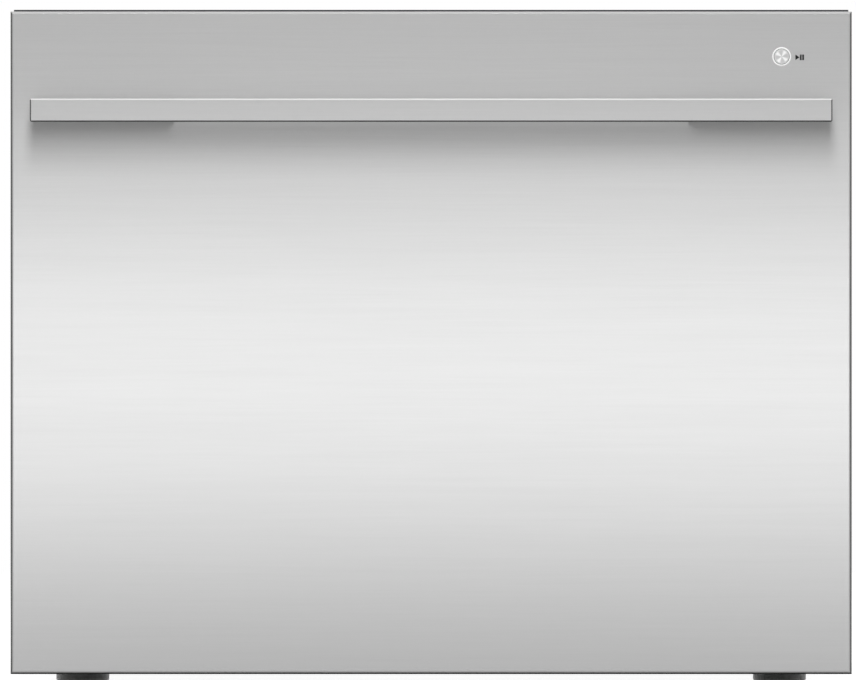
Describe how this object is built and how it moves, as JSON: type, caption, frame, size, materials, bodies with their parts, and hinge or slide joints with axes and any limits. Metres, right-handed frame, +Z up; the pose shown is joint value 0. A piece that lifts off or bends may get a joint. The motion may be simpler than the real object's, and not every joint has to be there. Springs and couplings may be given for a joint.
{
  "type": "dishwasher drawer",
  "caption": "Built-in single dishwasher drawer with a brushed steel front, a bar handle, a wash tub on telescopic runners, a lid that lowers on to it and lift-out racks.",
  "frame": {"origin": "on the floor, under the middle of the appliance's bounding box, drawer closed and feet wound in", "axes": "+Z up, the drawer front faces -Y and opens towards -Y, +X is to the right of a person who faces the front"},
  "size_m": [0.599, 0.611, 0.48],
  "materials": {
    "brushed_steel": "fine horizontal brushing",
    "grip_metal": "cast and blasted",
    "zinc_steel": "plain zinc-coated sheet",
    "runner_steel": "bright zinc",
    "screw_steel": "bright",
    "bright_trim": "polished",
    "button_metal": "spun",
    "heater_steel": "drawn tube",
    "black_plastic": "fine texture",
    "window_plastic": "smoked",
    "key_plastic": "satin",
    "frame_plastic": "moulded",
    "tub_plastic": "moulded, light grey",
    "sump_plastic": "moulded, mid grey",
    "lid_plastic": "moulded",
    "filter_plastic": "moulded",
    "pump_plastic": "moulded",
    "spray_plastic": "moulded",
    "rotor_plastic": "moulded",
    "motor_resin": "potting resin",
    "rack_plastic": "moulded, mid grey",
    "coated_wire": "nylon coat on wire",
    "dispenser_plastic": "moulded",
    "cap_plastic": "moulded, blue",
    "gear_plastic": "acetal",
    "drive_plastic": "moulded",
    "valve_plastic": "moulded",
    "hose_plastic": "extruded",
    "link_plastic": "moulded",
    "foot_plastic": "moulded",
    "board_laminate": "solder resist",
    "seal_rubber": "extruded",
    "trim_rubber": "extruded"
  },
  "bodies": {
    "chassis": {"chassis_wrap": "zinc_steel", "chassis_top": "zinc_steel", "base_tray": "zinc_steel", "side_trims": "trim_rubber", "runner_outer": "runner_steel", "lid_drive_housings": "drive_plastic", "inlet_valve": "valve_plastic", "drain_outlet": "hose_plastic", "power_inlet": "black_plastic", "link_bracket_chassis": "zinc_steel", "chassis_screws": "screw_steel"},
    "drawer": {"tub": "tub_plastic", "sump": "sump_plastic", "front_skin": "brushed_steel", "panel_frame": "frame_plastic", "handle_bar": "brushed_steel", "handle_blocks": "grip_metal", "button_bezel": "bright_trim", "control_housing": "black_plastic", "display_window": "window_plastic", "control_board": "board_laminate", "dispenser_body": "dispenser_plastic", "filter_plate": "filter_plastic", "pump_housing": "pump_plastic", "motor_stator": "motor_resin", "heater_ring": "heater_steel", "drain_hose": "hose_plastic", "runner_inner": "runner_steel", "drawer_screws": "screw_steel"},
    "lid": {"lid_plate": "lid_plastic", "lid_seal": "seal_rubber", "lid_racks": "gear_plastic"},
    "basket": {"basket_floor": "coated_wire", "basket_walls": "coated_wire", "fixed_tines": "coated_wire"},
    "lid_pinion_left": {"lid_pinion_left": "gear_plastic"},
    "lid_pinion_right": {"lid_pinion_right": "gear_plastic"},
    "runner_mid_left": {"runner_mid_left": "runner_steel"},
    "runner_mid_right": {"runner_mid_right": "runner_steel"},
    "link_arm_chassis": {"link_arm_chassis": "link_plastic"},
    "link_arm_drawer": {"link_arm_drawer": "link_plastic"},
    "start_button": {"start_button": "button_metal"},
    "key_power": {"key_power": "key_plastic"},
    "key_program": {"key_program": "key_plastic"},
    "key_options": {"key_options": "key_plastic"},
    "key_lock": {"key_lock": "key_plastic"},
    "dispenser_lid": {"dispenser_lid": "rack_plastic"},
    "rinse_cap": {"rinse_cap": "cap_plastic"},
    "drain_filter": {"drain_filter": "filter_plastic"},
    "spray_arm": {"spray_arm": "spray_plastic"},
    "pump_rotor": {"pump_rotor": "rotor_plastic"},
    "cup_rack_left": {"cup_rack_left": "rack_plastic"},
    "cup_rack_right": {"cup_rack_right": "rack_plastic"},
    "folding_tines_left": {"folding_tines_left": "coated_wire"},
    "folding_tines_right": {"folding_tines_right": "coated_wire"},
    "cutlery_basket": {"cutlery_basket": "rack_plastic"},
    "foot_front_left": {"foot_front_left": "foot_plastic"},
    "foot_front_right": {"foot_front_right": "foot_plastic"},
    "foot_back_left": {"foot_back_left": "foot_plastic"},
    "foot_back_right": {"foot_back_right": "foot_plastic"}
  },
  "joints": [
    {"name": "drawer_slide", "type": "slide", "parent": "chassis", "child": "drawer", "axis": [0, -1, 0], "range_m": [0, 0.5]},
    {"name": "runner_slide_left", "type": "slide", "parent": "chassis", "child": "runner_mid_left", "axis": [0, -1, 0], "range_m": [0, 0.25]},
    {"name": "runner_slide_right", "type": "slide", "parent": "chassis", "child": "runner_mid_right", "axis": [0, -1, 0], "range_m": [0, 0.25]},
    {"name": "link_pivot", "type": "hinge", "parent": "chassis", "child": "link_arm_chassis", "pos_m": [-0.21, 0.273, 0.129], "axis": [0, 0, -1], "range_deg": [0, 36.7]},
    {"name": "link_elbow", "type": "hinge", "parent": "link_arm_chassis", "child": "link_arm_drawer", "pos_m": [0.21, 0.273, 0.1474], "axis": [0, 0, 1], "range_deg": [0, 73.3]},
    {"name": "lid_slide", "type": "slide", "parent": "chassis", "child": "lid", "axis": [0, 0, -1], "range_m": [0, 0.01]},
    {"name": "lid_pinion_turn_left", "type": "hinge", "parent": "chassis", "child": "lid_pinion_left", "pos_m": [-0.2755, 0.047, 0.4568], "axis": [1, 0, 0], "range_deg": [0, 82]},
    {"name": "lid_pinion_turn_right", "type": "hinge", "parent": "chassis", "child": "lid_pinion_right", "pos_m": [0.2755, 0.047, 0.4568], "axis": [1, 0, 0], "range_deg": [0, 82]},
    {"name": "basket_lift", "type": "slide", "parent": "drawer", "child": "basket", "axis": [0, 0, 1], "range_m": [0, 0.15]},
    {"name": "cutlery_lift", "type": "slide", "parent": "basket", "child": "cutlery_basket", "axis": [0, 0, 1], "range_m": [0, 0.15]},
    {"name": "cup_rack_fold_left", "type": "hinge", "parent": "basket", "child": "cup_rack_left", "pos_m": [-0.252, 0.013, 0.2578], "axis": [0, -1, 0], "range_deg": [0, 85]},
    {"name": "cup_rack_fold_right", "type": "hinge", "parent": "basket", "child": "cup_rack_right", "pos_m": [0.252, 0.013, 0.2578], "axis": [0, 1, 0], "range_deg": [0, 85]},
    {"name": "tines_fold_left", "type": "hinge", "parent": "basket", "child": "folding_tines_left", "pos_m": [-0.092, 0.049, 0.142], "axis": [0, -1, 0], "range_deg": [0, 80]},
    {"name": "tines_fold_right", "type": "hinge", "parent": "basket", "child": "folding_tines_right", "pos_m": [0.092, 0.049, 0.142], "axis": [0, 1, 0], "range_deg": [0, 80]},
    {"name": "spray_arm_spin", "type": "hinge", "parent": "drawer", "child": "spray_arm", "pos_m": [0, 0.013, 0.118], "axis": [0, 0, 1], "continuous": true},
    {"name": "pump_rotor_spin", "type": "hinge", "parent": "drawer", "child": "pump_rotor", "pos_m": [0, 0.013, 0.06], "axis": [0, 0, 1], "continuous": true},
    {"name": "dispenser_lid_slide", "type": "slide", "parent": "drawer", "child": "dispenser_lid", "axis": [-1, 0, 0], "range_m": [0, 0.054]},
    {"name": "rinse_cap_turn", "type": "hinge", "parent": "drawer", "child": "rinse_cap", "pos_m": [0.06, -0.199, 0.332], "axis": [0, 1, 0], "range_deg": [0, 90]},
    {"name": "drain_filter_turn", "type": "hinge", "parent": "drawer", "child": "drain_filter", "pos_m": [0.14, -0.083, 0.09], "axis": [0, 0, 1], "range_deg": [0, 90]},
    {"name": "start_button_press", "type": "slide", "parent": "drawer", "child": "start_button", "axis": [0, 1, 0], "range_m": [0, 0.0012], "stiffness_N_per_m": 600},
    {"name": "key_power_press", "type": "slide", "parent": "drawer", "child": "key_power", "axis": [0, 0, -1], "range_m": [0, 0.0008], "stiffness_N_per_m": 700},
    {"name": "key_program_press", "type": "slide", "parent": "drawer", "child": "key_program", "axis": [0, 0, -1], "range_m": [0, 0.0008], "stiffness_N_per_m": 700},
    {"name": "key_options_press", "type": "slide", "parent": "drawer", "child": "key_options", "axis": [0, 0, -1], "range_m": [0, 0.0008], "stiffness_N_per_m": 700},
    {"name": "key_lock_press", "type": "slide", "parent": "drawer", "child": "key_lock", "axis": [0, 0, -1], "range_m": [0, 0.0008], "stiffness_N_per_m": 700},
    {"name": "foot_screw_front_left", "type": "slide", "parent": "chassis", "child": "foot_front_left", "axis": [0, 0, -1], "range_m": [0, 0.02]},
    {"name": "foot_screw_front_right", "type": "slide", "parent": "chassis", "child": "foot_front_right", "axis": [0, 0, -1], "range_m": [0, 0.02]},
    {"name": "foot_screw_back_left", "type": "slide", "parent": "chassis", "child": "foot_back_left", "axis": [0, 0, -1], "range_m": [0, 0.02]},
    {"name": "foot_screw_back_right", "type": "slide", "parent": "chassis", "child": "foot_back_right", "axis": [0, 0, -1], "range_m": [0, 0.02]}
  ],
  "couplings": [
    {"joint": "runner_slide_left", "follows": "drawer_slide", "ratio": 0.5},
    {"joint": "runner_slide_right", "follows": "drawer_slide", "ratio": 0.5},
    {"joint": "link_pivot", "follows": "drawer_slide", "rad_per_m": 1.2751},
    {"joint": "link_elbow", "follows": "drawer_slide", "rad_per_m": 2.5503},
    {"joint": "lid_pinion_turn_left", "follows": "lid_slide", "rad_per_m": 142.86},
    {"joint": "lid_pinion_turn_right", "follows": "lid_slide", "rad_per_m": 142.86}
  ]
}
